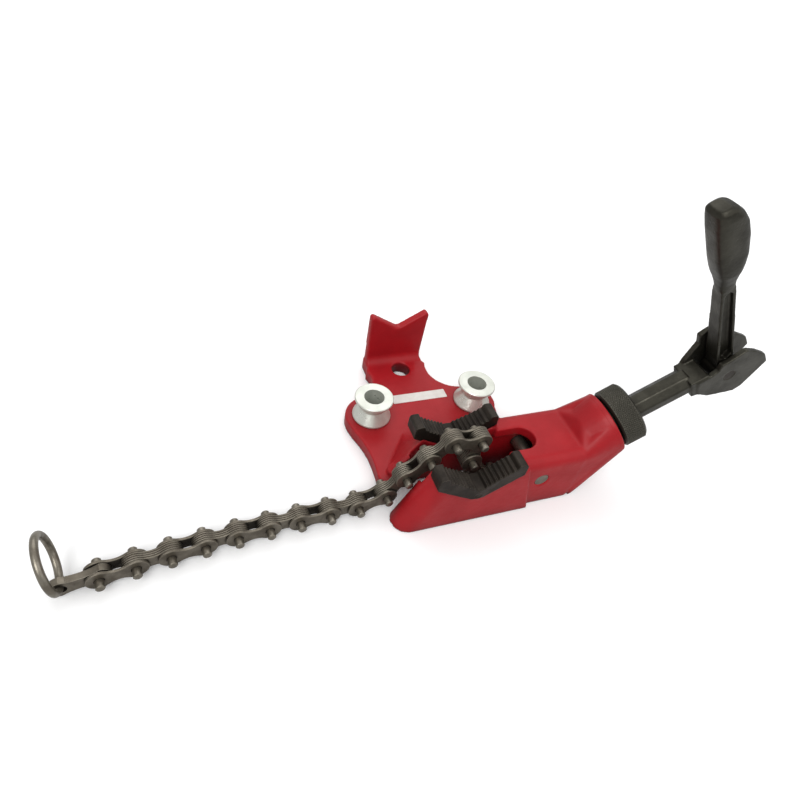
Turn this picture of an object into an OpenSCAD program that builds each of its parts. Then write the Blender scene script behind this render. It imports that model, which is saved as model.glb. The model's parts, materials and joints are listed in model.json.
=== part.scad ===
// Top-screw bench chain vise for pipe: a cast base with V jaws, a leaf chain that is drawn in by a
// long nut on a chain screw, and a crank handle that folds on the nut's end.
// Frame: +X towards the handle, +Y towards the pipe rest, +Z up. The origin is on the bench face,
// midway between the two bench bolts.

/* [Bench plate] */
// Thickness of the bench plate
plate_t = 10.5; // [9:0.5:12]
// Distance between the two bending rollers
roller_span = 81.7; // [80:0.1:83]
// Distance from the jaw plane back to the rollers
roller_y = 68.2; // [66:0.1:70]
// Distance from the jaw plane back to the rear bolt hole
rear_hole_y = 111.5; // [110:0.1:112.5]
// Diameter of the bench bolt holes
bolt_d = 14.6; // [13:0.1:15]

/* [Bending rollers] */
// Flange diameter of a roller
roller_d = 28; // [27:0.5:29]
// Height of a roller above the plate
roller_h = 18.8; // [17:0.1:20]
// Waist diameter of a roller
roller_waist_d = 18.4; // [18:0.1:20]

/* [Pipe rest] */
// Height of the rest's corners above the bench
rest_h = 54.6; // [52:0.1:56]
// Thickness of the rest
rest_t = 6.2; // [5:0.1:7]
// Half width of the rest
rest_half_w = 23.5; // [22:0.5:24]
// Depth of the V notch
rest_notch = 12; // [10:0.5:13]

/* [Jaws] */
// Angle of each jaw arm above the bench
jaw_slope = 30; // [29:0.5:31]
// Height of the bottom of the jaws' V
jaw_v_z = 38; // [37.5:0.1:38.5]
// Height of the smooth pads at the arm ends
jaw_pad_z = 53.4; // [53:0.1:54]
// Thickness of a jaw along Y
jaw_t = 8.2; // [7.8:0.1:8.4]
// Distance from the mid plane to a jaw's inner face
jaw_gap = 14.5; // [14:0.1:15]
// Teeth on one arm
jaw_teeth = 7; // [6:1:7]

/* [Chain] */
// Distance between chain pins
pitch = 19.05;
// Height of a link plate at its eyes
plate_h = 14.4; // [13.6:0.1:14.6]
// Height of a link plate at its waist
waist_h = 9; // [8:0.1:11]
// Diameter of a chain pin
pin_d = 6.4; // [6:0.1:6.6]
// Length of a chain pin
pin_len = 19.6; // [19:0.1:20.4]
// Thickness of an outer plate
outer_t = 2.3; // [2:0.1:2.4]
// Thickness of an inner plate
inner_t = 1.9; // [1.6:0.1:1.9]
// Wire diameter of the pull ring
ring_wire = 3.6; // [3.2:0.1:3.8]
// Diameter of the pull ring to the middle of its wire
ring_d = 33; // [32:0.5:36]

/* [Chain screw and nut] */
// Angle of the screw above the bench
tilt = 32.8;
// Diameter of the chain screw
screw_d = 12; // [11:0.1:12.4]
// Diameter of the knurled collar
collar_d = 41; // [38:0.5:42]
// Length of the knurled collar
collar_l = 15.4; // [14:0.1:16]
// Width across the flats of the octagonal nut sleeve
sleeve_af = 16.4; // [16:0.1:17.4]

/* [Handle] */
// Length of the handle from its pivot to its tip
handle_l = 142.5; // [138:0.5:150]
// Width of the grip, across the pivot pin
grip_w = 15; // [14:0.5:18]
// Thickness of the grip, along the pivot pin
grip_t = 16.4; // [15:0.2:18]

/* [Hidden] */
$fn = 64;
e = 0.01;
base_red = "#a02028";
chain_grey = "#5e5a50";
jaw_brown = "#3a332c";
forged_grey = "#4b4844";
roller_grey = "#b8bdae";

// Bench plate
roller_cx = 2.7;
roller_x = [roller_cx - roller_span / 2, roller_cx + roller_span / 2];
rear_hole_x = 0.5;
lobe_r = 19;
spigot_d = 19;
spigot_clear = 0.08;
rest_x = -2.3;
rest_y = 123.6;

// Casting walls
wall_y = 26;
housing_y = 22.8;
horn_gap = 8.4;
cavity_y = 12.5;
housing_z = 45.8;
lip_x = -2.5;
end_lean = 23.7;
end_x = -48.6;
horn_trim = 0.35;

// Screw axis, measured along it from the point under the jaws at the height axis_z
axis_z = -21;
face_t = 126.9;
face_r = 21.8;
washer_t = 2;
collar_t0 = face_t + washer_t;
sleeve_t0 = collar_t0 + collar_l;
head_t0 = 185;
pivot_t = 209.3;
pivot_n = -3;
cheek_in = 7;
cheek_out = 10.6;
pivot_d = 8;

// Guide pin that turns the chain onto the screw axis
guide_x = 49.9;
guide_z = 26.2;
guide_d = 9.5;

// Chain: the heading of each link, seen from the front, as the angle above the way to the left.
// The first link starts at the chain screw and the last one is the end link with the pull ring.
headings = [-32.8, -8, 25, 62, 95.5, 6.5, -43.4, -43.4, -53.5, -16, 0, 0, 0, 0, 0, 0, 0, 0, 0];
// Sideways turn of each link, from the play in the joints: the run on the bench bends to the front
yaws = [0, 0, 0, 0, 0, 0.5, 0.8, 1, 1.8, 3, 3, 2.4, 3, 4, 5, 6, 6.9, 7.5, 8];
anchor_t = 78.5;
links = len(headings);
bundle = 4;
plate_gap = 0.1;
bore_clear = 0.1;
inner_half = bundle * (inner_t + plate_gap) / 2;
outer_in = inner_half + 0.15;

// The pieces are laid out from the bench point below the jaws' V, on the chain's mid plane, and
// this puts the origin between the bench bolts
module in_frame() {
    translate([-roller_cx, -roller_y, 0]) children();
}

function along(t, n = 0) = [t * cos(tilt) - n * sin(tilt), 0, axis_z + t * sin(tilt) + n * cos(tilt)];
function step_of(i) = pitch * [
    -cos(headings[i]) * cos(yaws[i]),
    -cos(headings[i]) * sin(yaws[i]),
    sin(headings[i])
];
function joint_at(i) = i == 0 ? along(anchor_t) : joint_at(i - 1) + step_of(i - 1);

module at_link(i) {
    translate(joint_at(i)) rotate([0, 0, yaws[i]]) rotate([0, headings[i], 0]) children();
}

// Puts children on the screw axis, with their Z along it and their X square to it, downwards
module on_axis(t) {
    translate(along(t)) rotate([0, 90 - tilt, 0]) children();
}

// Extrudes an X-Z outline along Y, from y0 to y1
module along_y(y0, y1) {
    translate([0, y1, 0]) rotate([90, 0, 0]) linear_extrude(y1 - y0) children();
}

// ---- Base casting ----

module plate_outline() {
    difference() {
        union() {
            for (x = roller_x) translate([x, roller_y]) circle(r = lobe_r);
            polygon([
                [-49, 6], [-56, 62], [-40, 88], [rest_x - rest_half_w, 118],
                [rest_x - rest_half_w, rest_y + rest_t], [rest_x + rest_half_w, rest_y + rest_t],
                [rest_x + rest_half_w, 118], [46, 86], [60, 62], [56, 10]
            ]);
        }
        // Long hollow flank on the left, and its twin on the right
        translate([-129.3, 27]) circle(r = 80);
        translate([134.5, 27]) circle(r = 80);
        // Waists between the rollers and the pipe rest
        translate([-46.2, 106.6]) circle(r = 20.4);
        translate([43.5, 107]) circle(r = 22.3);
    }
}

module pipe_rest() {
    along_y(rest_y, rest_y + rest_t) polygon([
        [rest_x - rest_half_w + 1, 0], [rest_x - rest_half_w, rest_h - 1.5],
        [rest_x - rest_half_w + 1.5, rest_h], [rest_x - rest_half_w + 3, rest_h],
        [rest_x - 1, rest_h - rest_notch], [rest_x + 1, rest_h - rest_notch],
        [rest_x + rest_half_w - 3, rest_h], [rest_x + rest_half_w - 1.5, rest_h],
        [rest_x + rest_half_w, rest_h - 1.5], [rest_x + rest_half_w - 1, 0]
    ]);
    // Cove at the foot of the rest
    foot = 7;
    difference() {
        translate([rest_x - rest_half_w + 1, rest_y - foot, plate_t - e])
            cube([2 * rest_half_w - 2, foot + e, foot]);
        translate([rest_x, rest_y - foot, plate_t + foot]) rotate([0, 90, 0])
            cylinder(r = foot, h = 3 * rest_half_w, center = true);
    }
}

// Outline of a casting wall, seen from the front: its lip follows the jaw, and its right end
// slants back to the housing
module wall_side() {
    lip_flat = 4.5;
    lip_slope = 26;
    lip_z = 36.7;
    lip_run = (housing_z - lip_z) / tan(lip_slope);
    polygon([
        [-60, 0], [-60, lip_z + (60 + lip_x - lip_flat) * tan(lip_slope)],
        [lip_x - lip_flat, lip_z], [lip_x + lip_flat, lip_z],
        [lip_x + lip_flat + lip_run, housing_z], [33, housing_z], [46, 0]
    ]);
}

// Rounded left end of the front wall, leaning back with the horn
module front_wall() {
    r = 11;
    intersection() {
        along_y(-wall_y, -4) wall_side();
        translate([end_x, 0, 0]) rotate([0, end_lean, 0]) translate([0, 0, -30])
            linear_extrude(120) union() {
                translate([r - 1.5, -wall_y + r]) circle(r = r);
                translate([r - 1.5, -wall_y]) square([110, 30]);
                polygon([
                    [-1.5, -wall_y + r], [horn_trim, -10.2], [horn_trim, -4], [40, -4],
                    [40, -wall_y + r]
                ]);
            }
    }
}

// Rear wall, swept down to the plate in a wide cove and cut off aslant at its left end
module rear_wall() {
    foot_y = 50;
    cove_r = 26;
    difference() {
        intersection() {
            along_y(4, foot_y) wall_side();
            union() {
                translate([-60, 4, 0]) cube([110, wall_y - 4, 60]);
                translate([-60, 4, 0]) cube([110, foot_y - 4, plate_t + 10]);
                translate([-60, wall_y - e, 0]) cube([110, 10, 32]);
            }
        }
        translate([-61, wall_y + cove_r, plate_t + cove_r]) rotate([0, 90, 0])
            cylinder(r = cove_r, h = 112);
        // Slanting left end
        translate([-42.6, 18.2, plate_t]) rotate([0, 0, 142.3]) rotate([0, -27, 0])
            translate([0, -80, -40]) cube([60, 160, 120]);
        translate([end_x, 0, 0]) rotate([0, end_lean, 0]) translate([-60, 0, -30])
            cube([60 + horn_trim, 60, 120]);
    }
    // Rounded toe of the slanting end
    intersection() {
        translate([-39.2, 14.4, 0]) cylinder(r = 4.8, h = 22);
        along_y(4, wall_y) polygon([[-60, 0], [-60, 6], [-34, 20], [-34, 0]]);
    }
}

// Screw housing: a block with rounded top edges that flares to a round face square to the screw
module housing() {
    edge_r = 7.5;
    flare_x = 78;
    module section() {
        hull() {
            translate([-housing_y, 0]) square([2 * housing_y, 10]);
            for (s = [-1, 1]) translate([s * (housing_y - edge_r), housing_z - edge_r])
                circle(r = edge_r, $fn = 32);
        }
    }
    module slice(x, h) {
        translate([x, 0, 0]) rotate([90, 0, 90]) linear_extrude(h) section();
    }
    translate([16, 0, 0]) difference() {
        translate([0, -housing_y, 0]) cube([flare_x - 16, 2 * housing_y, housing_z]);
        for (s = [-1, 1]) translate([-e, s * (housing_y - edge_r), housing_z - edge_r]) difference() {
            translate([0, s > 0 ? 0 : -edge_r - 1, 0]) cube([flare_x, edge_r + 1, edge_r + 1]);
            translate([-1, 0, 0]) rotate([0, 90, 0]) cylinder(r = edge_r, h = flare_x + 2);
        }
    }
    hull() {
        slice(flare_x - 1, 1);
        on_axis(face_t - 18) cylinder(r = face_r - 2.6, h = 1, $fn = 32);
    }
    hull() {
        on_axis(face_t - 18) cylinder(r = face_r - 2.6, h = 1, $fn = 32);
        on_axis(face_t - 5) cylinder(r = face_r, h = 5, $fn = 32);
        translate([81, -housing_y, 0]) cube([1, 2 * housing_y, 6]);
    }
}

// Chain way: open below, narrow between the horns and wider from the jaws to the screw
module chain_way() {
    roof_z = 38;
    translate([-70, -horn_gap, -1]) cube([75, 2 * horn_gap, 80]);
    along_y(-cavity_y, cavity_y) polygon([
        [-31, -1], [-31, 29], [-34.2, 34], [-34.2, 80], [26, 80], [26, roof_z], [73, roof_z], [88.6, 48],
        [99.5, 31.2], [80, 18.6], [80, -1]
    ]);
    // Window in the roof, towards the jaws
    window = 8.8;
    translate([15, -window, 30]) cube([34.6 - window, 2 * window, 40]);
    translate([49.6 - window, 0, 30]) cylinder(r = window, h = 40);
}

// Seat of a jaw: a pocket with the jaw's own underside
module jaw_pocket() {
    far = 60;
    ledge = 3;
    along_y(jaw_gap, jaw_gap + jaw_t) polygon([
        [jaw_x - far, 90], [jaw_x + jaw_reach, 90], [jaw_x + jaw_reach, under_z(jaw_reach)],
        [jaw_x + jaw_flat, under_z(jaw_flat)], [jaw_x - jaw_flat, under_z(jaw_flat)],
        [jaw_x - far, under_z(far)]
    ]);
    // Ledge on the chain's side of the jaw, kept below the teeth
    along_y(0, jaw_gap + e) polygon([
        [jaw_x - far, 90], [jaw_x + jaw_reach, 90], [jaw_x + jaw_reach, under_z(jaw_reach) + ledge],
        [jaw_x + jaw_flat, under_z(jaw_flat) + ledge], [jaw_x - jaw_flat, under_z(jaw_flat) + ledge],
        [jaw_x - far, under_z(far) + ledge]
    ]);
}

module base_casting() {
    color(base_red) in_frame() difference() {
        union() {
            linear_extrude(plate_t) plate_outline();
            pipe_rest();
            front_wall();
            rear_wall();
            housing();
        }
        chain_way();
        jaw_pocket();
        mirror([0, 1, 0]) jaw_pocket();
        for (x = roller_x) translate([x, roller_y, -1]) cylinder(d = spigot_d + 2 * spigot_clear, h = 20);
        translate([rear_hole_x, rear_hole_y, -1]) cylinder(d = bolt_d, h = 20);
        translate([guide_x, 0, guide_z]) rotate([90, 0, 0]) cylinder(d = guide_d, h = 80, center = true);
        on_axis(face_t - 30) cylinder(d = screw_d + 3, h = 60);
        for (s = [-1, 1]) translate([jaw_x, s * (jaw_gap + jaw_t - e), jaw_screw_z])
            rotate([-s * 90, 0, 0]) cylinder(d = jaw_screw_d, h = 2);
    }
}

// ---- Jaws ----

jaw_x = -1.1;
jaw_arm_t = 11.5;
jaw_reach = 29.7;
jaw_flat = 4;
jaw_screw_d = 5;
jaw_screw_z = jaw_v_z - 6.2;
jaw_screw_head = 8.4;
pad_w = 6.4;
tooth_depth = 1.7;
tooth_lean = 0.6;
tooth_start = 3;
tooth_pitch = (jaw_reach - pad_w - 1.2 - tooth_start) / jaw_teeth;

// Heights of the tooth tips and of the underside of an arm, at a distance from the V's bottom
function arm_z(x) = jaw_v_z + x * tan(jaw_slope);
function under_z(x) = arm_z(x) - jaw_arm_t;

// Right arm of a jaw, seen from the front, with its smooth pad at the end
module jaw_arm() {
    teeth = [
        for (i = [0:jaw_teeth - 1], rise = [0, 1])
            let (x = tooth_start + (i + rise * (1 - tooth_lean)) * tooth_pitch)
                [x, arm_z(x) - (1 - rise) * tooth_depth]
    ];
    pad = jaw_reach - pad_w;
    polygon(concat(
        [[0, under_z(jaw_flat)], [0, jaw_v_z], [tooth_start - 1, jaw_v_z]],
        teeth,
        [
            [pad - 1, arm_z(pad) - tooth_depth], [pad, jaw_pad_z - 0.8], [pad + 0.8, jaw_pad_z],
            [jaw_reach - 2, jaw_pad_z], [jaw_reach - 0.6, jaw_pad_z - 0.6], [jaw_reach, jaw_pad_z - 2],
            [jaw_reach, under_z(jaw_reach)], [jaw_flat, under_z(jaw_flat)]
        ]
    ));
}

module jaw() {
    color(jaw_brown) difference() {
        translate([jaw_x, 0, 0]) along_y(jaw_gap, jaw_gap + jaw_t) union() {
            jaw_arm();
            mirror([1, 0]) jaw_arm();
        }
        translate([jaw_x, jaw_gap - e, jaw_screw_z]) rotate([-90, 0, 0]) {
            cylinder(d = jaw_screw_d, h = 20);
            cylinder(d = jaw_screw_head, h = 3.2);
        }
    }
}

module jaw_screw() {
    socket = 4.6;
    color(forged_grey) translate([jaw_x, jaw_gap, jaw_screw_z]) rotate([-90, 0, 0]) difference() {
        union() {
            translate([0, 0, 0.2]) cylinder(d = jaw_screw_head, h = 3);
            translate([0, 0, 1]) cylinder(d = jaw_screw_d, h = jaw_t + 0.9);
        }
        cylinder(d = socket, h = 2.2, $fn = 6);
    }
}

module rear_jaw() { in_frame() jaw(); }
module front_jaw() { in_frame() mirror([0, 1, 0]) jaw(); }
module rear_jaw_screw() { in_frame() jaw_screw(); }
module front_jaw_screw() { in_frame() mirror([0, 1, 0]) jaw_screw(); }

// ---- Pieces on the casting ----

module chain_guide_pin() {
    color(forged_grey) in_frame() translate([guide_x, 0, guide_z]) rotate([90, 0, 0])
        cylinder(d = guide_d, h = 2 * housing_y - 1, center = true);
}

module roller(x) {
    rim = 1.6;
    color(roller_grey) in_frame() translate([x, roller_y, plate_t]) rotate_extrude() difference() {
        union() {
            polygon([
                [0, 0], [roller_d / 2 - 0.5, 0], [roller_d / 2, 0.5], [roller_d / 2, rim],
                [roller_waist_d / 2 + 1, roller_h / 2 - 1.6], [roller_waist_d / 2, roller_h / 2],
                [roller_waist_d / 2 + 1, roller_h / 2 + 1.6], [roller_d / 2, roller_h - rim],
                [roller_d / 2, roller_h - 0.5], [roller_d / 2 - 0.5, roller_h], [0, roller_h]
            ]);
            translate([0, 0.5 - plate_t]) square([spigot_d / 2, plate_t]);
        }
        translate([-1, -plate_t]) square([bolt_d / 2 + 1, roller_h + 2 * plate_t]);
    }
}

module left_roller() { roller(roller_x[0]); }
module right_roller() { roller(roller_x[1]); }

// ---- Chain screw, nut and handle ----

module chain_screw() {
    fork_w = 17;
    fork_r = 7.2;
    color(forged_grey) in_frame() difference() {
        union() {
            along_y(-fork_w / 2, fork_w / 2) translate([along(anchor_t)[0], along(anchor_t)[2]])
                rotate(tilt) union() {
                    circle(r = fork_r);
                    translate([0, -fork_r]) square([14, 2 * fork_r]);
                }
            on_axis(anchor_t + 12) cylinder(d = screw_d, h = 91);
        }
        along_y(-outer_in, outer_in) translate([along(anchor_t)[0], along(anchor_t)[2]])
            rotate(tilt) translate([-20, -fork_r - 1]) square([29, 2 * fork_r + 2]);
        translate(along(anchor_t)) rotate([90, 0, 0]) cylinder(d = pin_d, h = 30, center = true);
    }
}

module anchor_pin() {
    color(chain_grey) in_frame() translate(along(anchor_t)) rotate([90, 0, 0])
        cylinder(d = pin_d, h = 17.6, center = true);
}

module thrust_washer() {
    play = 0.05;
    color(forged_grey) in_frame() on_axis(face_t + play) difference() {
        cylinder(d = 32, h = washer_t - 2 * play);
        translate([0, 0, -1]) cylinder(d = screw_d + 1, h = washer_t + 2);
    }
}

module knurled_collar() {
    c = 1.6;
    color(forged_grey) in_frame() on_axis(collar_t0) difference() {
        rotate_extrude() polygon([
            [0, 0], [collar_d / 2 - c, 0], [collar_d / 2, c], [collar_d / 2, collar_l - c],
            [collar_d / 2 - c, collar_l], [0, collar_l]
        ]);
        translate([0, 0, -1]) cylinder(d = sleeve_af - 1, h = collar_l + 2);
    }
}

// Outline of a clevis cheek in the plane of the screw axis; the rear cheek has an ear above
module cheek_outline(ear) {
    polygon([
        [187, -7], [194, -15], [213, -25.6], [219, -24.5], [236.4, -9.4], [234.5, 0], [228, 8.6],
        [221, 15.4], [208, 12.4], [204, 13], [201.5, 8], [196, 6], [187, 6]
    ]);
    if (ear) polygon([
        [187, 4], [189, 9], [200, 21], [200.5, 29], [208.5, 30.4], [219, 17], [212, 0], [190, 0]
    ]);
}

// Turns an outline drawn in screw coordinates, along and square to the axis, into a plate
module axis_plate(y0, y1) {
    along_y(y0, y1) translate([0, axis_z]) rotate(tilt) children();
}

module nut_sleeve() {
    color(forged_grey) in_frame() difference() {
        union() {
            on_axis(collar_t0) cylinder(d = sleeve_af - 1, h = collar_l + 1);
            on_axis(sleeve_t0) rotate([0, 0, 22.5])
                cylinder(d = sleeve_af / cos(22.5), h = head_t0 - sleeve_t0, $fn = 8);
            axis_plate(-cheek_out, -cheek_in) cheek_outline(false);
            axis_plate(cheek_in, cheek_out) cheek_outline(true);
            // Web that joins the cheeks on the sleeve's side
            axis_plate(-cheek_out + 1, cheek_out - 1) polygon([
                [head_t0 - 2, -7.4], [190, -9.4], [196, -9.4], [196, 7.4], [head_t0 - 2, 7.4]
            ]);
        }
        on_axis(collar_t0 - 1) cylinder(d = screw_d + 0.12, h = 56);
        translate(along(pivot_t, pivot_n)) rotate([90, 0, 0]) cylinder(d = pivot_d, h = 40, center = true);
    }
}

module handle_pivot_pin() {
    color(forged_grey) in_frame() translate(along(pivot_t, pivot_n)) rotate([90, 0, 0])
        cylinder(d = pivot_d, h = 2 * cheek_out - 0.4, center = true);
}

// Forged crank handle: a round hub, an H-section shank and a square grip with a domed end
module handle() {
    hub_r = 9.4;
    hub_w = 2 * cheek_in - 0.8;
    root_w = 12;
    root_t = hub_w - 1;
    neck_w = 9;
    neck_t = 8.6;
    neck = 80;
    shoulder = 101;
    grip_shift = -0.8;
    edge_r = 3.1;
    tip_r = 4.6;
    groove = 2.6;
    rim = 1.9;
    // Two balls, front and rear, at a place x across the grip and n up the handle
    module knuckle(x, n, r) {
        for (y = [-1, 1]) translate([x, y * (grip_t / 2 - r), n]) sphere(r = r, $fn = 24);
    }
    color(forged_grey) in_frame() difference() {
        union() {
            translate(along(pivot_t, pivot_n)) rotate([90, 0, 0])
                cylinder(r = hub_r, h = hub_w, center = true);
            translate(along(pivot_t, pivot_n)) rotate([0, -tilt, 0]) {
                hull() {
                    translate([-root_w / 2, -root_t / 2, 0]) cube([root_w, root_t, 8]);
                    translate([-neck_w / 2, -neck_t / 2, neck]) cube([neck_w, neck_t, 2]);
                }
                hull() {
                    translate([-neck_w / 2, -neck_t / 2, neck]) cube([neck_w, neck_t, 2]);
                    translate([grip_shift, 0, 0]) {
                        knuckle(edge_r - grip_w / 2, shoulder + 8, edge_r);
                        knuckle(grip_w / 2 - edge_r, shoulder, edge_r);
                        knuckle(grip_w / 2 - edge_r, handle_l - 16, edge_r);
                        knuckle(tip_r - grip_w / 2, handle_l - tip_r - 0.4, tip_r);
                        knuckle(1, handle_l - tip_r, tip_r);
                    }
                }
            }
        }
        // Grooves in the front and rear faces of the shank
        for (s = [-1, 1]) axis_plate(s > 0 ? neck_t / 2 - groove : -20, s > 0 ? 20 : groove - neck_t / 2)
            translate([pivot_t, pivot_n]) polygon([
                [rim - root_w / 2, 17], [rim - neck_w / 2, neck - 4], [0, neck - 1],
                [neck_w / 2 - rim, neck - 4], [root_w / 2 - rim, 17], [0, 13]
            ]);
        translate(along(pivot_t, pivot_n)) rotate([90, 0, 0])
            cylinder(d = pivot_d + 0.12, h = 40, center = true);
    }
}

// ---- Chain ----

// Figure-of-eight link plate, with its first eye at the origin and its second one at -pitch
module link_outline(hole) {
    waist_r = 26;
    difference() {
        union() {
            circle(d = plate_h);
            translate([-pitch, 0]) circle(d = plate_h);
            translate([-pitch, -plate_h / 2 + 1]) square([pitch, plate_h - 2]);
        }
        for (s = [-1, 1]) translate([-pitch / 2, s * (waist_h / 2 + waist_r)]) circle(r = waist_r);
        circle(d = hole);
        translate([-pitch, 0]) circle(d = hole);
    }
}

module outer_plates() {
    for (s = [-1, 1]) along_y(s > 0 ? outer_in : -outer_in - outer_t, s > 0 ? outer_in + outer_t : -outer_in)
        link_outline(pin_d);
}

module inner_plates() {
    for (i = [0:bundle - 1]) translate([0, (i - bundle / 2) * (inner_t + plate_gap) + plate_gap / 2, 0])
        along_y(0, inner_t) link_outline(pin_d + 2 * bore_clear);
}

module pin() {
    c = 0.7;
    rotate([90, 0, 0]) translate([0, 0, -pin_len / 2]) rotate_extrude() polygon([
        [0, 0], [pin_d / 2 - c, 0], [pin_d / 2, c], [pin_d / 2, pin_len - c],
        [pin_d / 2 - c, pin_len], [0, pin_len]
    ]);
}

// Link i, counted from the chain screw: odd links are bundles of inner plates, even ones are pairs
// of outer plates
module link(i) {
    color(chain_grey) in_frame() at_link(i - 1) {
        if (i % 2 == 1) inner_plates();
        else outer_plates();
    }
}

module pins(i) {
    color(chain_grey) in_frame() at_link(i - 1) {
        pin();
        translate([-pitch, 0, 0]) pin();
    }
}

// End link: two thinner plates side by side, with an eye that the pull ring runs through
module end_link() {
    half = 2.1;
    eye_d = 12.4;
    waist_r = 26;
    color(chain_grey) in_frame() at_link(links - 1) along_y(-half, half) difference() {
        union() {
            circle(d = plate_h);
            translate([-pitch, 0]) circle(d = eye_d);
            translate([-pitch, -5]) square([pitch, 10]);
        }
        for (s = [-1, 1]) translate([-pitch / 2, s * (waist_h / 2 + waist_r)]) circle(r = waist_r);
        circle(d = pin_d + 2 * bore_clear);
        translate([-pitch, 0]) circle(d = ring_wire + 3.4);
    }
}

// Pull ring, leaning back in the eye and standing off to the rear side of the chain
module pull_ring() {
    ring_lean = 8;
    ring_side = 24;
    color(chain_grey) in_frame() at_link(links - 1) translate([-pitch, 0, 0])
        rotate([0, -ring_lean, 0]) rotate([-ring_side, 0, 0]) translate([0, 0, ring_d / 2])
            rotate([0, 90, 0]) rotate_extrude() translate([ring_d / 2, 0]) circle(d = ring_wire);
}

base_casting();
front_jaw();
rear_jaw();
front_jaw_screw();
rear_jaw_screw();
chain_guide_pin();
left_roller();
right_roller();
chain_screw();
anchor_pin();
thrust_washer();
knurled_collar();
nut_sleeve();
handle();
handle_pivot_pin();
link(1);  // link_01
link(2);  // link_02
link(3);  // link_03
link(4);  // link_04
link(5);  // link_05
link(6);  // link_06
link(7);  // link_07
link(8);  // link_08
link(9);  // link_09
link(10);  // link_10
link(11);  // link_11
link(12);  // link_12
link(13);  // link_13
link(14);  // link_14
link(15);  // link_15
link(16);  // link_16
link(17);  // link_17
link(18);  // link_18
end_link();
pull_ring();
pins(2);  // pins_02
pins(4);  // pins_04
pins(6);  // pins_06
pins(8);  // pins_08
pins(10);  // pins_10
pins(12);  // pins_12
pins(14);  // pins_14
pins(16);  // pins_16
pins(18);  // pins_18
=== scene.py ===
import json
import math
from functools import partial

import bmesh
import bpy
from mathutils import Matrix, Vector


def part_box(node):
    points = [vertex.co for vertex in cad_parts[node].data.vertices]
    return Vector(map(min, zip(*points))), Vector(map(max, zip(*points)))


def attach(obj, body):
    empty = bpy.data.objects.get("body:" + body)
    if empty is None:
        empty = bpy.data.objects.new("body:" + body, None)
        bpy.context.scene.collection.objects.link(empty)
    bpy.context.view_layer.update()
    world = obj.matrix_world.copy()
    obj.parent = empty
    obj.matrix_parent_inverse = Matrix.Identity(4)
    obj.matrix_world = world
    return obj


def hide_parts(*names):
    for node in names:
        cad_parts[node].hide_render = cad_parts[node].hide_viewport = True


# Sizes and places are in metres, in the frame of the CAD model, and angles in degrees
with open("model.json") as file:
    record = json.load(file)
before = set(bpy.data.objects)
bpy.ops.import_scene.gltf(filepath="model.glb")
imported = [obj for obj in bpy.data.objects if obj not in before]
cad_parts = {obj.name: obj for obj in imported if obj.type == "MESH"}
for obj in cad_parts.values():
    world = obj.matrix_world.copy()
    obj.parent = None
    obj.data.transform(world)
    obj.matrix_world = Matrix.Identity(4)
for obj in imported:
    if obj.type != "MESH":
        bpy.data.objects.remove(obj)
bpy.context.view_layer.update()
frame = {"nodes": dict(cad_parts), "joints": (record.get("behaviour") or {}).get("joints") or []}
nodes = frame["nodes"]
print("frame loaded")

# Camera: the place, aim and lens that put the plate, rollers and chain where the photo has them
camera = {
    "place": (-0.16640, -0.26505, 0.32103),
    "right": (0.94252, -0.30539, 0.13568),
    "up": (0.12526, 0.69927, 0.70380),
    "lens": 26.26,
    "shift": (0.028, -0.0114),
}
camData = bpy.data.cameras.new("photoCamera")
camObject = bpy.data.objects.new("photoCamera", camData)
bpy.context.scene.collection.objects.link(camObject)
right, up = Vector(camera["right"]).normalized(), Vector(camera["up"]).normalized()
back = right.cross(up).normalized()
up = back.cross(right)
turn = Matrix((right, up, back)).transposed()
camObject.matrix_world = Matrix.Translation(camera["place"]) @ turn.to_4x4()
camData.lens = camera["lens"]
camData.sensor_width = 36
camData.shift_x, camData.shift_y = camera["shift"]
camData.clip_start, camData.clip_end = 0.01, 20
bpy.context.scene.camera = camObject
bpy.context.scene.view_settings.view_transform = "Standard"
print("camera set")


# Shader helpers

def linear(hexCode):
    values = [int(hexCode[i:i + 2], 16) / 255 for i in (0, 2, 4)]
    return tuple(v / 12.92 if v <= 0.04045 else ((v + 0.055) / 1.055) ** 2.4 for v in values) + (1,)


def addNode(tree, kind, settings=None, **inputs):
    # An input goes by its name, or as i0, i1 by its number, and takes a value or another socket
    node = tree.nodes.new(kind)
    for name, value in (settings or {}).items():
        setattr(node, name, value)
    for name, value in inputs.items():
        numbered = name[0] == "i" and name[1:].isdigit()
        socket = node.inputs[int(name[1:]) if numbered else name]
        if isinstance(value, bpy.types.NodeSocket):
            tree.links.new(value, socket)
        else:
            socket.default_value = value
    return node


def calc(tree, operation, a, b=0.0, clamp=False):
    settings = {"operation": operation, "use_clamp": clamp}
    return addNode(tree, "ShaderNodeMath", settings, i0=a, i1=b).outputs[0]


def ramp(tree, value, low, high, toLow=0.0, toHigh=1.0):
    smooth = {"interpolation_type": "SMOOTHSTEP"}
    node = addNode(
        tree, "ShaderNodeMapRange", smooth, i0=value, i1=low, i2=high, i3=toLow, i4=toHigh)
    return node.outputs[0]


def mixColour(tree, factor, a, b):
    # Inputs 6 and 7 and output 2 are the Mix node's colour sockets
    node = addNode(tree, "ShaderNodeMix", {"data_type": "RGBA"}, i0=factor, i6=a, i7=b)
    return node.outputs[2]


def newGroup(name, inputs, outputs):
    group = bpy.data.node_groups.new(name, "ShaderNodeTree")
    for label, default in inputs:
        socket = group.interface.new_socket(
            name=label, in_out="INPUT", socket_type="NodeSocketFloat")
        socket.default_value = default
    for label in outputs:
        group.interface.new_socket(name=label, in_out="OUTPUT", socket_type="NodeSocketFloat")
    given = group.nodes.new("NodeGroupInput").outputs
    return group, given, group.nodes.new("NodeGroupOutput").inputs


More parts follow.
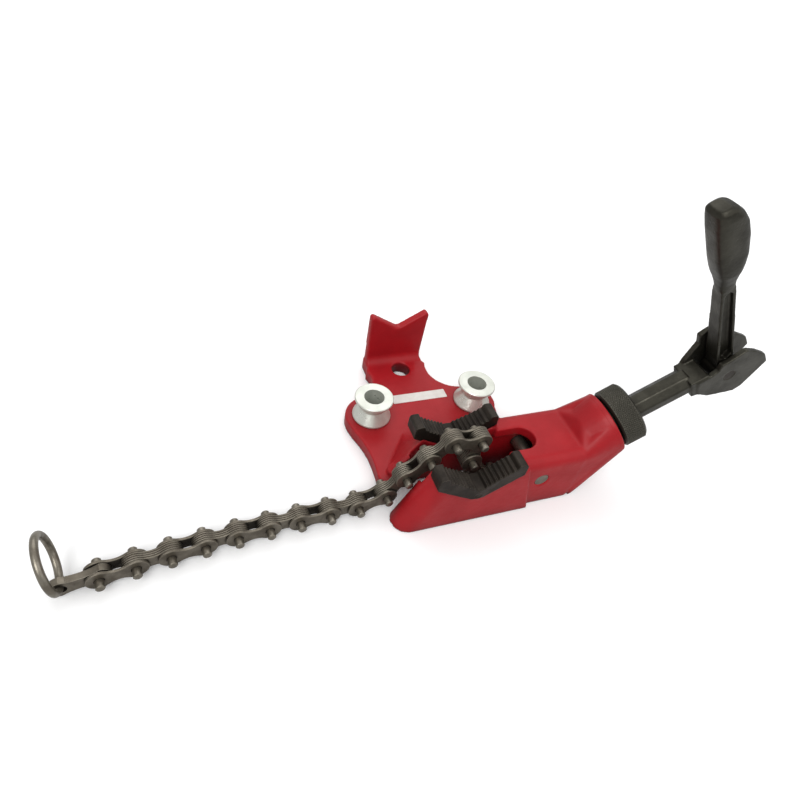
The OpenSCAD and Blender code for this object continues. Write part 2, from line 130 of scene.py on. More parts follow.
grainShape = {
    "mottleDetail": 4.0,
    "mottleRoughness": 0.6,
    "mottleFrom": 0.3,
    "mottleTo": 0.7,
    "grainDetail": 3.0,
    "grainRoughness": 0.55,
    "pitMiddle": 0.05,
    "pitRim": 0.35,
}


def buildSurfaceGroup(shape):
    # Mottling, fine grain and pits, all from the piece's own coordinates in metres
    group, given, out = newGroup(
        "surfaceGrain",
        [("mottleScale", 60.0), ("grainScale", 900.0), ("pitScale", 320.0)],
        ["mottle", "grain", "pits"],
    )
    place = addNode(group, "ShaderNodeTexCoord").outputs["Object"]
    mottle = addNode(
        group, "ShaderNodeTexNoise", None, Vector=place, Scale=given[0],
        Detail=shape["mottleDetail"], Roughness=shape["mottleRoughness"],
    )
    grain = addNode(
        group, "ShaderNodeTexNoise", None, Vector=place, Scale=given[1],
        Detail=shape["grainDetail"], Roughness=shape["grainRoughness"],
    )
    pits = addNode(group, "ShaderNodeTexVoronoi", None, Vector=place, Scale=given[2])
    mottled = ramp(group, mottle.outputs[0], shape["mottleFrom"], shape["mottleTo"])
    pitted = ramp(group, pits.outputs["Distance"], shape["pitMiddle"], shape["pitRim"], 1.0, 0.0)
    for socket, value in zip(out, (mottled, grain.outputs[0], pitted)):
        group.links.new(value, socket)
    return group


edgeShape = {
    "samples": 6,
    "bendFrom": 0.01,
    "bendTo": 0.12,
    "hiddenFrom": 0.3,
    "hiddenTo": 0.6,
    "cornerFrom": 0.15,
    "cornerTo": 0.85,
}


def buildEdgeGroup(shape):
    # Painted highlight along the outer edges, and painted shade in the sheltered corners, from
    # ambient occlusion
    group, given, out = newGroup(
        "edgesAndCorners", [("edgeWidth", 0.0006), ("cornerReach", 0.006)], ["edge", "corner"])
    samples = {"samples": shape["samples"]}
    bevel = addNode(group, "ShaderNodeBevel", samples, Radius=given[0]).outputs[0]
    normal = addNode(group, "ShaderNodeNewGeometry").outputs["Normal"]
    likeness = addNode(
        group, "ShaderNodeVectorMath", {"operation": "DOT_PRODUCT"}, i0=bevel, i1=normal)
    bend = calc(group, "SUBTRACT", 1.0, likeness.outputs["Value"], True)
    shelter = addNode(group, "ShaderNodeAmbientOcclusion", samples, Distance=given[1])
    inside = calc(group, "SUBTRACT", 1.0, shelter.outputs["AO"], True)
    bent = ramp(group, bend, shape["bendFrom"], shape["bendTo"])
    hidden = ramp(group, inside, shape["hiddenFrom"], shape["hiddenTo"])
    corner = ramp(group, inside, shape["cornerFrom"], shape["cornerTo"])
    for socket, value in zip(out, (calc(group, "SUBTRACT", bent, hidden, True), corner)):
        group.links.new(value, socket)
    return group


surfaceGrain = buildSurfaceGroup(grainShape)
edgesAndCorners = buildEdgeGroup(edgeShape)


def startMaterial(name):
    material = bpy.data.materials.new(name)
    material.use_nodes = True
    tree = material.node_tree
    return material, tree, tree.nodes["Principled BSDF"]


def placeGroup(tree, group, look):
    # One of the shared groups, with this look's values at its inputs
    node = tree.nodes.new("ShaderNodeGroup")
    node.node_tree = group
    for socket in node.inputs:
        socket.default_value = look[socket.name]
    return node.outputs


# Mottled colour, lightened by a painted highlight on the outer edges and darkened by painted shade in
# the corners
def mottleAndPaintedLight(tree, look, grain, edges):
    colour = mixColour(tree, grain["mottle"], linear(look["colour"]), linear(look["mottleColour"]))
    # Painted highlight: the edge mask lightens the colour
    shine = calc(tree, "MULTIPLY", edges["edge"], look["edgeShine"])
    colour = mixColour(tree, shine, colour, linear(look["edgeColour"]))
    # Painted shade: the corner mask, from ambient occlusion, darkens the colour
    grime = calc(tree, "MULTIPLY", edges["corner"], look["grime"])
    return mixColour(tree, grime, colour, linear(look["grimeColour"]))


def mottledRoughness(tree, look, grain):
    spread = calc(tree, "MULTIPLY", grain["mottle"], look["roughnessSpread"])
    return calc(tree, "ADD", look["roughness"], spread)


def bumpFrom(tree, height, depth, rounding):
    samples = {"samples": edgeShape["samples"]}
    soft = addNode(tree, "ShaderNodeBevel", samples, Radius=rounding).outputs[0]
    bump = addNode(
        tree, "ShaderNodeBump", None, Strength=1.0, Distance=depth, Height=height, Normal=soft)
    return bump.outputs[0]


def makeMetal(name, look, extraHeight=None):
    material, tree, shader = startMaterial(name)
    grain = placeGroup(tree, surfaceGrain, look)
    edges = placeGroup(tree, edgesAndCorners, look)
    tree.links.new(mottleAndPaintedLight(tree, look, grain, edges), shader.inputs["Base Color"])
    dull = calc(tree, "MULTIPLY", edges["corner"], look["cornerRoughness"])
    rough = calc(tree, "ADD", mottledRoughness(tree, look, grain), dull, True)
    tree.links.new(rough, shader.inputs["Roughness"])
    shader.inputs["Metallic"].default_value = look["metallic"]
    pits = calc(tree, "MULTIPLY", grain["pits"], look["pitDepth"])
    height = calc(tree, "SUBTRACT", grain["grain"], pits)
    if extraHeight:
        height = calc(tree, "ADD", height, extraHeight(tree, look))
    normal = bumpFrom(tree, height, look["bumpDepth"], look["rounding"])
    tree.links.new(normal, shader.inputs["Normal"])
    return material


# Red enamel on the casting

paintLook = {
    "colour": "A3151D",
    "mottleColour": "98121A",
    # Painted highlight along the enamel's edges
    "edgeColour": "B02A32",
    "edgeShine": 0.25,
    # Painted shade in the enamel's corners and hollows
    "grimeColour": "3A080D",
    "grime": 0.85,
    "roughness": 0.4,
    "roughnessSpread": 0.1,
    "mottleScale": 45.0,
    "grainScale": 420.0,
    "pitScale": 260.0,
    "edgeWidth": 0.0012,
    "cornerReach": 0.018,
    "bumpDepth": 0.00008,
    "rounding": 0.0008,
    "specular": 0.25,
    "coat": 0.06,
    "coatRoughness": 0.22,
    "peelScale": 160.0,
    "peelDetail": 2.0,
    "peelShare": 2.0,
}


def makePaint(look):
    material, tree, shader = startMaterial("redEnamel")
    grain = placeGroup(tree, surfaceGrain, look)
    edges = placeGroup(tree, edgesAndCorners, look)
    tree.links.new(mottleAndPaintedLight(tree, look, grain, edges), shader.inputs["Base Color"])
    tree.links.new(mottledRoughness(tree, look, grain), shader.inputs["Roughness"])
    shader.inputs["Specular IOR Level"].default_value = look["specular"]
    shader.inputs["Coat Weight"].default_value = look["coat"]
    shader.inputs["Coat Roughness"].default_value = look["coatRoughness"]
    # The enamel's orange peel, over the casting's grain
    place = addNode(tree, "ShaderNodeTexCoord").outputs["Object"]
    peel = addNode(
        tree, "ShaderNodeTexNoise", None, Vector=place, Scale=look["peelScale"],
        Detail=look["peelDetail"],
    )
    raised = calc(tree, "MULTIPLY", peel.outputs[0], look["peelShare"])
    height = calc(tree, "ADD", grain["grain"], raised)
    normal = bumpFrom(tree, height, look["bumpDepth"], look["rounding"])
    tree.links.new(normal, shader.inputs["Normal"])
    return material


# Steels: chain, jaws, forgings, and the rollers' pale metal

chainLook = {
    "colour": "7E776B",
    "mottleColour": "625B50",
    # Painted highlight along the steel's edges
    "edgeColour": "B9B2A4",
    "edgeShine": 0.55,
    # Painted shade in the chain's corners and between its plates
    "grimeColour": "1B1713",
    "grime": 0.9,
    "metallic": 0.85,
    "roughness": 0.36,
    "roughnessSpread": 0.16,
    "cornerRoughness": 0.2,
    "mottleScale": 110.0,
    "grainScale": 1600.0,
    "pitScale": 700.0,
    "pitDepth": 0.5,
    "edgeWidth": 0.0005,
    "cornerReach": 0.007,
    "bumpDepth": 0.00005,
    "rounding": 0.00035,
}
# Each look below also sets its own painted edge highlight and painted corner shade
jawLook = dict(
    chainLook, colour="352E27", mottleColour="251F1A", edgeColour="6E675C", edgeShine=0.7,
    roughness=0.42, metallic=0.65, mottleScale=90.0, rounding=0.0005, edgeWidth=0.0007,
)
forgedLook = dict(
    chainLook, colour="45433B", mottleColour="34322B", edgeColour="7C796E", edgeShine=0.5,
    grime=0.8, roughness=0.3, roughnessSpread=0.14, metallic=0.8, mottleScale=70.0,
    grainScale=700.0, pitScale=380.0, bumpDepth=0.00009, rounding=0.0006, edgeWidth=0.0008,
    cornerReach=0.01,
)
rollerLook = dict(
    chainLook, colour="DADCD3", mottleColour="CBCEC4", edgeColour="EDEDE6", edgeShine=0.5,
    grimeColour="8B8D85", grime=0.15, metallic=0.6, roughness=0.27, roughnessSpread=0.08,
    mottleScale=80.0, grainScale=1500.0, pitDepth=0.15, bumpDepth=0.00004, rounding=0.0003,
    cornerReach=0.004, latheTurns=16000.0, latheDepth=0.35,
)
ringLook = dict(
    chainLook, colour="8E887C", mottleColour="6E675C", roughness=0.28, edgeShine=0.0, grime=0.5,
    mottleScale=140.0,
)
pinLook = dict(
    chainLook, colour="8B857A", mottleColour="6E685D", roughness=0.3, roughnessSpread=0.1,
    grime=0.7, cornerReach=0.004,
)


def turningLines(tree, look):
    # Lathe marks: fine rings round a roller, latheTurns radians of them to a metre of its height
    place = addNode(tree, "ShaderNodeTexCoord").outputs["Object"]
    height = addNode(tree, "ShaderNodeSeparateXYZ", None, Vector=place).outputs[2]
    wave = calc(tree, "SINE", calc(tree, "MULTIPLY", height, look["latheTurns"]))
    return calc(tree, "MULTIPLY", wave, look["latheDepth"])


paint = makePaint(paintLook)
chainSteel = makeMetal("chainSteel", chainLook)
jawSteel = makeMetal("jawSteel", jawLook)
forgedSteel = makeMetal("forgedSteel", forgedLook)
rollerMetal = makeMetal("rollerMetal", rollerLook, turningLines)
ringSteel = makeMetal("ringSteel", ringLook)
pinSteel = makeMetal("pinSteel", pinLook)
print("materials made")

# The CAD nodes that no drawn piece replaces show these materials too
for name, node in nodes.items():
    if name == "base_casting":
        material = paint
    elif name.endswith("jaw") or name == "handle_pivot_pin":
        material = jawSteel
    elif name.endswith("roller"):
        material = rollerMetal
    elif name == "pull_ring":
        material = ringSteel
    elif name.startswith(("link_", "pins_", "end_link", "anchor_pin")):
        material = chainSteel
    elif name == "chain_guide_pin":
        material = pinSteel
    else:
        material = forgedSteel
    node.data.materials.clear()
    node.data.materials.append(material)


# Pieces

def addPiece(name, mesh, material, body, replaced=()):
    piece = bpy.data.objects.new(name, mesh)
    bpy.context.scene.collection.objects.link(piece)
    mesh.materials.clear()
    mesh.materials.append(material)
    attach(piece, body)
    if replaced:
        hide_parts(*replaced)


mergeReach = 1e-6  # corners of a CAD mesh that lie closer than this are one


def openCopy(node):
    # A copy of the node's CAD mesh, and its corners and faces to work on
    mesh = nodes[node].data.copy()
    work = bmesh.new()
    work.from_mesh(mesh)
    bmesh.ops.remove_doubles(work, verts=work.verts, dist=mergeReach)
    return mesh, work


def finishMesh(work, name):
    bmesh.ops.recalc_face_normals(work, faces=work.faces)
    mesh = bpy.data.meshes.new(name)
    work.to_mesh(mesh)
    work.free()
    return mesh


def joinLoops(work, low, high):
    # Quads between two closed loops of corners
    for i in range(len(low)):
        k = (i + 1) % len(low)
        work.faces.new((low[i], low[k], high[k], high[i]))


def turnsOf(count):
    return [2 * math.pi * i / count for i in range(count)]


def softened(node, voxel, passes, reshape=None):
    # A cast or forged skin: the CAD solid remeshed finely and smoothed, so that its edges are round
    mesh, work = openCopy(node)
    if reshape:
        reshape(work)
    work.to_mesh(mesh)
    work.free()
    holder = bpy.data.objects.new("holder", mesh)
    bpy.context.scene.collection.objects.link(holder)
    remesh = holder.modifiers.new("remesh", "REMESH")
    remesh.mode = "VOXEL"
    remesh.voxel_size = voxel
    smooth = holder.modifiers.new("smooth", "SMOOTH")
    smooth.factor = 0.5
    smooth.iterations = passes
    evaluated = holder.evaluated_get(bpy.context.evaluated_depsgraph_get())
    made = bpy.data.meshes.new_from_object(evaluated)
    bpy.data.objects.remove(holder)
    made.polygons.foreach_set("use_smooth", [True] * len(made.polygons))
    made.update()
    return made


# The screw axis, which the housing, collar, sleeve and handle share: its foot, and how far it leans
screwAxis = {"foot": (-0.0027, -0.0682, -0.021), "tilt": 32.8}
tilt = math.radians(screwAxis["tilt"])
axisAlong = Vector((math.cos(tilt), 0, math.sin(tilt)))
axisUp = Vector((-math.sin(tilt), 0, math.cos(tilt)))
sideways = Vector((0, 1, 0))


def onAxis(along, upward, side):
    return Vector(screwAxis["foot"]) + axisAlong * along + axisUp * upward + sideways * side


def addHull(work, points):
    # The solid round these points, which the remesh then melts into the piece
    verts = [work.verts.new(point) for point in points]
    bmesh.ops.convex_hull(work, input=verts)
    spare = [v for v in verts if not v.link_faces]
    bmesh.ops.delete(work, geom=spare, context="VERTS")


# Casting: its sides run straight from the box section out to the round face, beside the chain's way
casting = {
    "voxel": 0.0008,
    "smoothing": 8,
    "flareStart": 0.0743,  # where the box section ends, in X
    "flareInner": 0.0135,  # clear of the chain's way, from the middle
    "flareFoot": 0.0006,
    "halfWidth": 0.0226,
    "height": 0.0452,
    "cornerRadius": 0.0075,
    "cornerSteps": 5,
    "faceAlong": 0.1262,
    "faceDepth": 0.004,
    "faceRadius": 0.0216,
    "faceSteps": 12,
}


def flareSection(spec):
    # The end at the box section as (reach, height), with its upper outer edge rounded
    inner, foot, corner = spec["flareInner"], spec["flareFoot"], spec["cornerRadius"]
    section = [(inner, foot), (spec["halfWidth"], foot), (inner, spec["height"])]
    for step in range(spec["cornerSteps"] + 1):
        a = math.radians(90 * step / spec["cornerSteps"])
        reach = spec["halfWidth"] - corner + corner * math.cos(a)
        section.append((reach, spec["height"] - corner + corner * math.sin(a)))
    return section


def fillFlare(spec, work):
    radius, steps = spec["faceRadius"], spec["faceSteps"]
    opening = math.acos(spec["flareInner"] / radius)
    for side in (-1, 1):
        points = [
            (spec["flareStart"], screwAxis["foot"][1] + side * reach, height)
            for reach, height in flareSection(spec)
        ]
        for along in (spec["faceAlong"] - spec["faceDepth"], spec["faceAlong"]):
            for step in range(steps + 1):
                a = -opening + 2 * opening * step / steps
                points.append(onAxis(along, radius * math.sin(a), side * radius * math.cos(a)))
        addHull(work, points)


castSkin = softened(
    "base_casting", casting["voxel"], casting["smoothing"], partial(fillFlare, casting))
addPiece("castBody", castSkin, paint, "base", ["base_casting"])


def turnedRing(name, start, sections, around, cut=None):
    # Turned about the screw axis: sections are (along, radius), closed round, and cut takes depth off
    work = bmesh.new()
    rings = []
    for step, a in enumerate(turnsOf(around)):
        ring = []
        for along, radius in sections:
            if cut:
                radius -= cut(along, radius, step / around)
            spot = onAxis(start + along, radius * math.sin(a), radius * math.cos(a))
            ring.append(work.verts.new(spot))
        rings.append(ring)
    for ring, following in zip(rings, rings[1:] + rings[:1]):
        joinLoops(work, ring, following)
    return finishMesh(work, name)


# The machined rim of the housing's round face stays crisp under the paint
rim = {
    "start": 0.1229,
    "length": 0.004,
    "radius": 0.0218,
    "bore": 0.009,
    "chamfer": 0.0005,
    "backDrop": 0.0006,
    "backLength": 0.001,
    "around": 96,
}


def makeRim(spec):
    radius, length, chamfer = spec["radius"], spec["length"], spec["chamfer"]
    sections = [
        (0.0, spec["bore"]), (0.0, radius - spec["backDrop"]), (spec["backLength"], radius),
        (length - chamfer, radius), (length, radius - chamfer), (length, spec["bore"]),
    ]
    return turnedRing("faceRim", spec["start"], sections, spec["around"])


addPiece("faceRim", makeRim(rim), paint, "base")
print("casting made")

# Handle: a fluted shank under a broad grip, whose tip leans over towards the casting
forging = {"voxel": 0.00055, "handleSmoothing": 6, "sleeveSmoothing": 4}
grip = {
    "pivot": (0.2093, -0.003),  # along the screw axis and above it
    "cut": 0.081,  # where the CAD grip is cut off, above the pivot
    "squareness": 0.6,
    "around": 40,
    "sections": [
        {"up": 0.078, "middle": 0.0, "halfWidth": 0.0046, "halfThick": 0.0044},
        {"up": 0.086, "middle": 0.0, "halfWidth": 0.0051, "halfThick": 0.0050},
        {"up": 0.091, "middle": 0.0, "halfWidth": 0.0059, "halfThick": 0.0062},
        {"up": 0.095, "middle": 0.0, "halfWidth": 0.0069, "halfThick": 0.0073},
        {"up": 0.100, "middle": 0.0002, "halfWidth": 0.0080, "halfThick": 0.0078},
        {"up": 0.107, "middle": 0.0003, "halfWidth": 0.0091, "halfThick": 0.0080},
        {"up": 0.121, "middle": -0.0004, "halfWidth": 0.0095, "halfThick": 0.0082},
        {"up": 0.131, "middle": -0.0015, "halfWidth": 0.0091, "halfThick": 0.0082},
        {"up": 0.138, "middle": -0.0030, "halfWidth": 0.0077, "halfThick": 0.0081},
        {"up": 0.1424, "middle": -0.0045, "halfWidth": 0.0061, "halfThick": 0.0074},
        {"up": 0.1446, "middle": -0.0054, "halfWidth": 0.0034, "halfThick": 0.0052},
    ],
}


def squared(value, power):
    return math.copysign(abs(value) ** power, value)


def gripRing(spec, section, work):
    along, up = spec["pivot"]
    ring = []
    for a in turnsOf(spec["around"]):
        across = section["halfWidth"] * squared(math.cos(a), spec["squareness"])
        thick = section["halfThick"] * squared(math.sin(a), spec["squareness"])
        spot = onAxis(along + (section["middle"] + across), up + section["up"], thick)
        ring.append(work.verts.new(spot))
    return ring


def fillGrip(spec, work):
    # The CAD grip is cut off and the broad one is lofted in its place
    along, up = spec["pivot"]
    everything = work.verts[:] + work.edges[:] + work.faces[:]
    cut = bmesh.ops.bisect_plane(
        work, geom=everything, plane_co=onAxis(along, up + spec["cut"], 0), plane_no=axisUp,
        clear_outer=True,
    )
    rimEdges = [g for g in cut["geom_cut"] if isinstance(g, bmesh.types.BMEdge)]
    bmesh.ops.triangle_fill(work, edges=rimEdges, use_beauty=True)
    rings = [gripRing(spec, section, work) for section in spec["sections"]]
    for low, high in zip(rings, rings[1:]):
        joinLoops(work, low, high)
    work.faces.new(list(reversed(rings[0])))
    work.faces.new(rings[-1])
    bmesh.ops.recalc_face_normals(work, faces=work.faces)


crankSkin = softened(
    "handle", forging["voxel"], forging["handleSmoothing"], partial(fillGrip, grip))
addPiece("crankHandle", crankSkin, forgedSteel, "handle", ["handle"])
sleeveSkin = softened("nut_sleeve", forging["voxel"], forging["sleeveSmoothing"])
addPiece("sleeveHead", sleeveSkin, forgedSteel, "nut", ["nut_sleeve"])
print("forgings made")

# Jaws: the toothed faces run out over the tops of the cheeks, wider than the CAD blanks
jaw = {
    "extra": 0.0043,  # how much wider than the CAD jaw
    "belly": 0.0012,  # and how much more beside the V
    "bellyPlace": -0.0038,
    "bellyReach": 0.014,
    "voxel": 0.0003,
    "smoothing": 3,
    "plug": 0.0029,  # half the side of the plug that closes the screw's hole
    "plugRoot": 0.001,
}


def widenJaw(spec, screw, work):
    middle = screwAxis["foot"][1]
    reaches = [abs(v.co.y - middle) for v in work.verts]
    inner, outer = min(reaches), max(reaches)
    for v in work.verts:
        share = (abs(v.co.y - middle) - inner) / (outer - inner)
        nearV = max(0.0, 1 - abs(v.co.x - spec["bellyPlace"]) / spec["bellyReach"])
        v.co.y += math.copysign((spec["extra"] + spec["belly"] * nearV) * share, v.co.y - middle)
    # The screw's hole ends blind behind the outer face
    low, high = (Vector(corner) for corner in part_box(screw))
    x, z = (low.x + high.x) / 2, (low.z + high.z) / 2
    side = math.copysign(1, low.y - middle)
    deep = outer + spec["extra"] + spec["belly"] / 2
    addHull(work, [
        (x + a * spec["plug"], middle + side * y, z + b * spec["plug"])
        for a in (-1, 1) for b in (-1, 1) for y in (outer - spec["plugRoot"], deep)
    ])


for name, piece in (("front_jaw", "frontJaw"), ("rear_jaw", "rearJaw")):
    widened = partial(widenJaw, jaw, name + "_screw")
    mesh = softened(name, jaw["voxel"], jaw["smoothing"], widened)
    addPiece(piece, mesh, jawSteel, "base", [name])
print("jaws made")

# Knurled collar, on the screw axis
collar = {
    "axisStart": 0.1289,
    "length": 0.0154,
    "radius": 0.0205,
    "boreRadius": 0.0078,
    "chamfer": 0.0014,
    "depth": 0.0006,
    "diamonds": 66,
    "rows": 8,
    "stepsEach": 6,
    "sharpness": 1.5,
    "fadeReach": 0.0006,  # the grooves run out over this length at each end
    "fadeLeast": 0.15,
}


def knurl(spec, along, radius, turn):
    # Depth of two crossing sets of grooves at one spot of the collar's outside
    if radius < spec["radius"]:
        return 0.0
    chamfer, length = spec["chamfer"], spec["length"]
    rise = (along - chamfer) / (length - 2 * chamfer) * spec["rows"]
    turns = spec["diamonds"] * turn
    groove = max(abs(((turns + slant) % 1.0) - 0.5) * 2 for slant in (rise, -rise))
    fromEnd = min(along - chamfer, length - chamfer - along)
    fade = min(1.0, fromEnd / spec["fadeReach"] + spec["fadeLeast"])
    return spec["depth"] * groove ** spec["sharpness"] * fade


def makeCollar(spec):
    bore, radius = spec["boreRadius"], spec["radius"]
    length, chamfer = spec["length"], spec["chamfer"]
    steps = spec["rows"] * spec["stepsEach"]
    sections = [(0.0, bore), (0.0, radius - chamfer)]
    for i in range(steps + 1):
        sections.append((chamfer + (length - 2 * chamfer) * i / steps, radius))
    sections += [(length, radius - chamfer), (length, bore)]
    around = spec["diamonds"] * spec["stepsEach"]
    cut = partial(knurl, spec)
    return turnedRing("knurledCollar", spec["axisStart"], sections, around, cut)


addPiece("knurledCollar", makeCollar(collar), forgedSteel, "nut", ["knurled_collar"])
print("collar made")

# Leaf chain: odd links are stacks of four plates, even links are two outer plates riveted to two
# pins, all placed between the joints of the frame
chain = {
    "pitch": 0.01905,
    "eyeRadius": 0.0072,
    "waistRadius": 0.0044,  # half the height midway between the eyes
    "holeRadius": 0.00272,
    "pinRadius": 0.0026,
    "pinHalf": 0.0096,  # half a pin's length, with its domes
    "pinDome": 0.0007,
    "pinHead": [(0.0, 0.45), (0.25, 0.8), (1.0, 1.0)],  # shares of the dome's depth and the radius
    "pinSides": 28,
    "stackHalf": 0.0026,  # half the width of an inner stack
    "stackPlates": 4,
    "plateGap": 0.00022,
    "outerFrom": 0.00272,  # an outer plate's sides, from the middle
    "outerTo": 0.0044,
    "edge": 0.0003,
    "eyeSteps": 22,
    "waistSteps": 8,
    "holeSteps": 20,
    "links": 18,
}


def chainFrame(joints, index):
    # Start eye, way to the next eye, way up and way across of one link
    start, end = (Vector(joints["chain_joint_%02d" % i]["pos_m"]) for i in (index - 1, index))
    along = (end - start).normalized()
    across = Vector((-along.y, along.x, 0)).normalized()
    if across.y < 0:
        across = -across
    return start, along, across.cross(along), across


def plateOutline(spec, grow):
    # Figure of eight: two eyes joined by hollow waist arcs
    big, waist, half = spec["eyeRadius"], spec["waistRadius"], spec["pitch"] / 2
    hollow = (half ** 2 + waist ** 2 - big ** 2) / (2 * (big - waist))
    lift = hollow + waist
    lean = math.atan2(lift, half)
    reach = math.pi - lean
    points = []
    for side in (1, -1):
        centre = spec["pitch"] if side > 0 else 0.0
        for step in range(spec["eyeSteps"] + 1):
            a = -side * reach + side * 2 * reach * step / spec["eyeSteps"]
            swing = a if side > 0 else math.pi - a
            x = centre + (big + grow) * math.cos(swing)
            points.append((x, (big + grow) * math.sin(swing)))
        for step in range(1, spec["waistSteps"]):
            t = -1 + 2 * step / spec["waistSteps"]
            a = t * (math.pi / 2 - lean)
            x = half - side * (hollow - grow) * math.sin(a)
            points.append((x, side * (lift - (hollow - grow) * math.cos(a))))
    return points


def addPlate(work, spec, place, low, high):
    # One plate with broken edges and two eyes, between low and high across the chain
    start, along, upward, across = place
    edge = spec["edge"]
    layers = []
    for y, inset in ((low, edge), (low + edge, 0), (high - edge, 0), (high, edge)):
        loops = [plateOutline(spec, -inset)]
        for centre in (0.0, spec["pitch"]):
            radius = spec["holeRadius"] + inset
            loops.append([
                (centre + radius * math.cos(a), radius * math.sin(a))
                for a in turnsOf(spec["holeSteps"])
            ])
        layers.append([
            [work.verts.new(start + along * u + upward * v + across * y) for u, v in loop]
            for loop in loops
        ])
    for below, above in zip(layers, layers[1:]):
        for lowLoop, highLoop in zip(below, above):
            joinLoops(work, lowLoop, highLoop)
    for layer in (layers[0], layers[-1]):
        rims = [work.edges.get((loop[i], loop[i - 1])) for loop in layer for i in range(len(loop))]
        bmesh.ops.triangle_fill(work, edges=rims, use_beauty=True)


def addPin(work, spec, place, reach):
    # A riveted pin with a low dome at each end, this far along the link from its first eye
    start, along, upward, across = place
    centre = start + along * reach
    r, half, dome, head = spec["pinRadius"], spec["pinHalf"], spec["pinDome"], spec["pinHead"]
    profile = [(-half + deep * dome, wide * r) for deep, wide in head]
    profile += [(half - deep * dome, wide * r) for deep, wide in reversed(head)]
    rings = []
    for y, radius in profile:
        ring = []
        for a in turnsOf(spec["pinSides"]):
            spot = along * (radius * math.cos(a)) + upward * (radius * math.sin(a))
            ring.append(work.verts.new(centre + spot + across * y))
        rings.append(ring)
    for low, high in zip(rings, rings[1:]):
        joinLoops(work, low, high)
    work.faces.new(rings[0])
    work.faces.new(rings[-1])


def innerLayers(spec):
    # Low and high side of each plate of a stack, across the chain
    count, gap = spec["stackPlates"], spec["plateGap"]
    thick = (2 * spec["stackHalf"] - gap * (count - 1)) / count
    lows = [-spec["stackHalf"] + i * (thick + gap) for i in range(count)]
    return [(low, low + thick) for low in lows]


def outerLayers(spec):
    return [(-spec["outerTo"], -spec["outerFrom"]), (spec["outerFrom"], spec["outerTo"])]


def makeChain(spec):
    joints = {joint["name"]: joint for joint in frame["joints"]}
    for index in range(1, spec["links"] + 1):
        place = chainFrame(joints, index)
        body = "link_%02d" % index
        inner = index % 2 == 1
        kind = "innerPlates" if inner else "outerPlates"
        work = bmesh.new()
        for low, high in (innerLayers(spec) if inner else outerLayers(spec)):
            addPlate(work, spec, place, low, high)
        mesh = finishMesh(work, kind)
        addPiece("%s%02d" % (kind, index), mesh, chainSteel, body, [body])
        if inner:
            continue
        work = bmesh.new()
        for reach in (0.0, spec["pitch"]):
            addPin(work, spec, place, reach)
        mesh = finishMesh(work, "rivets")
        addPiece("rivets%02d" % index, mesh, pinSteel, body, ["pins_%02d" % index])


makeChain(chain)

# Pull ring: the CAD ring drawn in a heavier wire, and shrunk a little towards its foot
ringWire = {"thicker": 0.00042, "scale": 0.97}


def makeRing(spec):
    mesh, work = openCopy("pull_ring")
    work.normal_update()
    low = Vector([min(v.co[i] for v in work.verts) for i in range(3)])
    high = Vector([max(v.co[i] for v in work.verts) for i in range(3)])
    foot = Vector(((low.x + high.x) / 2, (low.y + high.y) / 2, low.z))
    for v in work.verts:
        v.co = foot + (v.co + v.normal * spec["thicker"] - foot) * spec["scale"]
    work.to_mesh(mesh)
    work.free()
    return mesh


addPiece("pullRing", makeRing(ringWire), ringSteel, "pull_ring", ["pull_ring"])
print("chain made")

# Bare label plate on the bench plate
label = {
    "middle": (0.0016, 0.0113),
    "size": (0.044, 0.0084),
    "top": 0.01085,
    "under": 0.0102,
    "edge": 0.00012,
    "corner": 0.0006,
    "cornerSteps": 5,
}
labelLook = {
    "colour": "DAD6D1",
    "mottleColour": "D2CDC7",
    "mottleScale": 220.0,
    "mottleDetail": 4.0,
    "roughness": 0.35,
    "roughnessSpread": 0.12,
    "colourBand": (0.35, 0.7),
    "roughnessBand": (0.3, 0.7),
    "bumpDepth": 0.00003,
}


def makeLabelMaterial(look):
    material, tree, shader = startMaterial("labelWhite")
    place = addNode(tree, "ShaderNodeTexCoord").outputs["Object"]
    noise = addNode(
        tree, "ShaderNodeTexNoise", None, Vector=place, Scale=look["mottleScale"],
        Detail=look["mottleDetail"],
    ).outputs[0]
    mottle = ramp(tree, noise, *look["colourBand"])
    colour = mixColour(tree, mottle, linear(look["colour"]), linear(look["mottleColour"]))
    tree.links.new(colour, shader.inputs["Base Color"])
    roughest = look["roughness"] + look["roughnessSpread"]
    rough = ramp(tree, noise, *look["roughnessBand"], look["roughness"], roughest)
    tree.links.new(rough, shader.inputs["Roughness"])
    bump = addNode(
        tree, "ShaderNodeBump", None, Strength=1.0, Distance=look["bumpDepth"], Height=noise)
    tree.links.new(bump.outputs[0], shader.inputs["Normal"])
    return material


def labelOutline(spec):
    halfX, halfY, corner = spec["size"][0] / 2, spec["size"][1] / 2, spec["corner"]
    outline = []
    for sideX, sideY, first in ((1, 1, 0), (-1, 1, 90), (-1, -1, 180), (1, -1, 270)):
        for step in range(spec["cornerSteps"] + 1):
            a = math.radians(first + 90 * step / spec["cornerSteps"])
            x = sideX * (halfX - corner) + corner * math.cos(a)
            outline.append((x, sideY * (halfY - corner) + corner * math.sin(a)))
    return outline


def makeLabel(spec):
    # A thin plate let into the paint, with its upper edge broken
    work = bmesh.new()
    layers = []
    edge = spec["edge"]
    for z, inset in ((spec["under"], 0), (spec["top"] - edge, 0), (spec["top"], edge)):
        shrinkX, shrinkY = (1 - inset / (length / 2) for length in spec["size"])
        layers.append([
            work.verts.new((x * shrinkX + spec["middle"][0], y * shrinkY + spec["middle"][1], z))
            for x, y in labelOutline(spec)
        ])
    for low, high in zip(layers, layers[1:]):
        joinLoops(work, low, high)
    work.faces.new(layers[-1])
    work.faces.new(list(reversed(layers[0])))
    return finishMesh(work, "labelPlate")


addPiece("labelPlate", makeLabel(label), makeLabelMaterial(labelLook), "base")
print("label made")

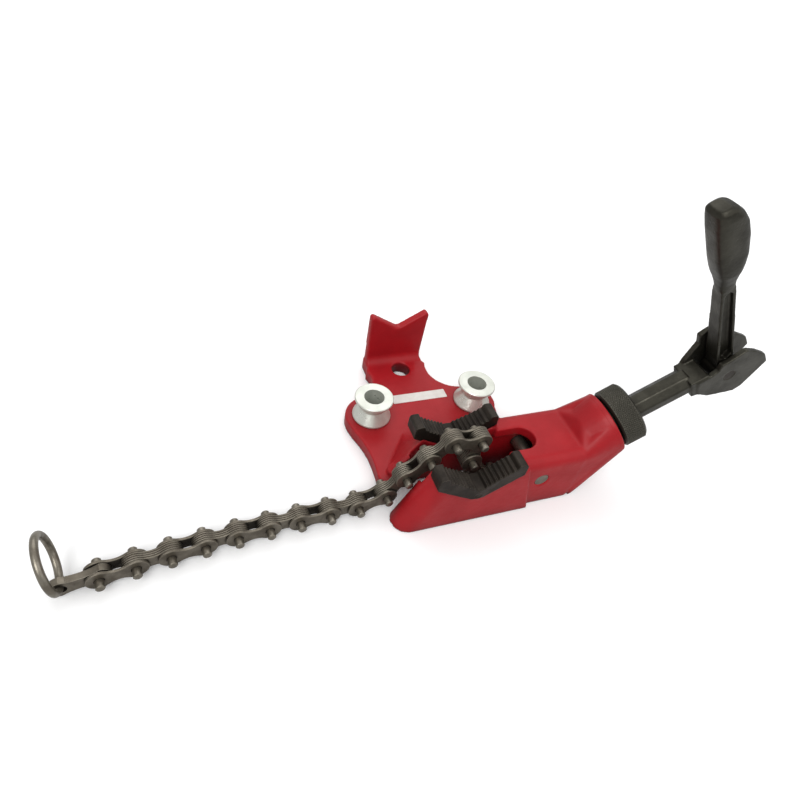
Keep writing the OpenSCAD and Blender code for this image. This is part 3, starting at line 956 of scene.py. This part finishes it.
# Studio: a white floor under an even sky, with broad suns so that colours render as written
studio = {
    "floorSize": 6.0,
    "floorDrop": 0.0002,
    "floorSeen": "FFFFFF",
    "floorBounce": "C8C8C8",
    "floorRoughness": 0.9,
    "skyHigh": 0.8,
    "skyLow": 0.32,
    "skyBand": (-0.1, 0.9),
    "suns": [
        {"name": "keySun", "from": (-0.55, -0.75, 1.15), "angle": 40.0, "strength": 1.35},
        {"name": "fillSun", "from": (0.9, -0.6, 0.8), "angle": 60.0, "strength": 0.45},
        {"name": "rimSun", "from": (0.2, 1.0, 1.0), "angle": 50.0, "strength": 0.6},
    ],
}


def makeFloor(spec):
    work = bmesh.new()
    bmesh.ops.create_grid(work, x_segments=4, y_segments=4, size=spec["floorSize"] / 2)
    mesh = bpy.data.meshes.new("floor")
    work.to_mesh(mesh)
    work.free()
    floor = bpy.data.objects.new("floor", mesh)
    bpy.context.scene.collection.objects.link(floor)
    floor.location.z = -spec["floorDrop"]
    material, tree, shader = startMaterial("floorPaper")
    seen = addNode(tree, "ShaderNodeLightPath").outputs["Is Camera Ray"]
    colour = mixColour(tree, seen, linear(spec["floorBounce"]), linear(spec["floorSeen"]))
    tree.links.new(colour, shader.inputs["Base Color"])
    shader.inputs["Roughness"].default_value = spec["floorRoughness"]
    shader.inputs["Specular IOR Level"].default_value = 0.0
    mesh.materials.append(material)


def makeWorld(spec):
    # The camera sees white at a strength of 1, the object a sky that is darker below
    world = bpy.data.worlds.new("studioWorld")
    bpy.context.scene.world = world
    world.use_nodes = True
    tree = world.node_tree
    background = tree.nodes["Background"]
    background.inputs["Color"].default_value = (1, 1, 1, 1)
    seen = addNode(tree, "ShaderNodeLightPath").outputs["Is Camera Ray"]
    way = addNode(tree, "ShaderNodeTexCoord").outputs["Generated"]
    height = addNode(tree, "ShaderNodeSeparateXYZ", None, Vector=way).outputs[2]
    sky = ramp(tree, height, *spec["skyBand"], spec["skyLow"], spec["skyHigh"])
    strength = addNode(tree, "ShaderNodeMapRange", None, i0=seen, i3=sky, i4=1.0).outputs[0]
    tree.links.new(strength, background.inputs["Strength"])


def makeSun(spec):
    data = bpy.data.lights.new(spec["name"], "SUN")
    data.energy = spec["strength"]
    data.angle = math.radians(spec["angle"])
    sun = bpy.data.objects.new(spec["name"], data)
    bpy.context.scene.collection.objects.link(sun)
    sun.location = spec["from"]
    sun.rotation_mode = "QUATERNION"
    sun.rotation_quaternion = Vector(spec["from"]).to_track_quat("Z", "Y")


makeFloor(studio)
makeWorld(studio)
for sun in studio["suns"]:
    makeSun(sun)
print("studio made")
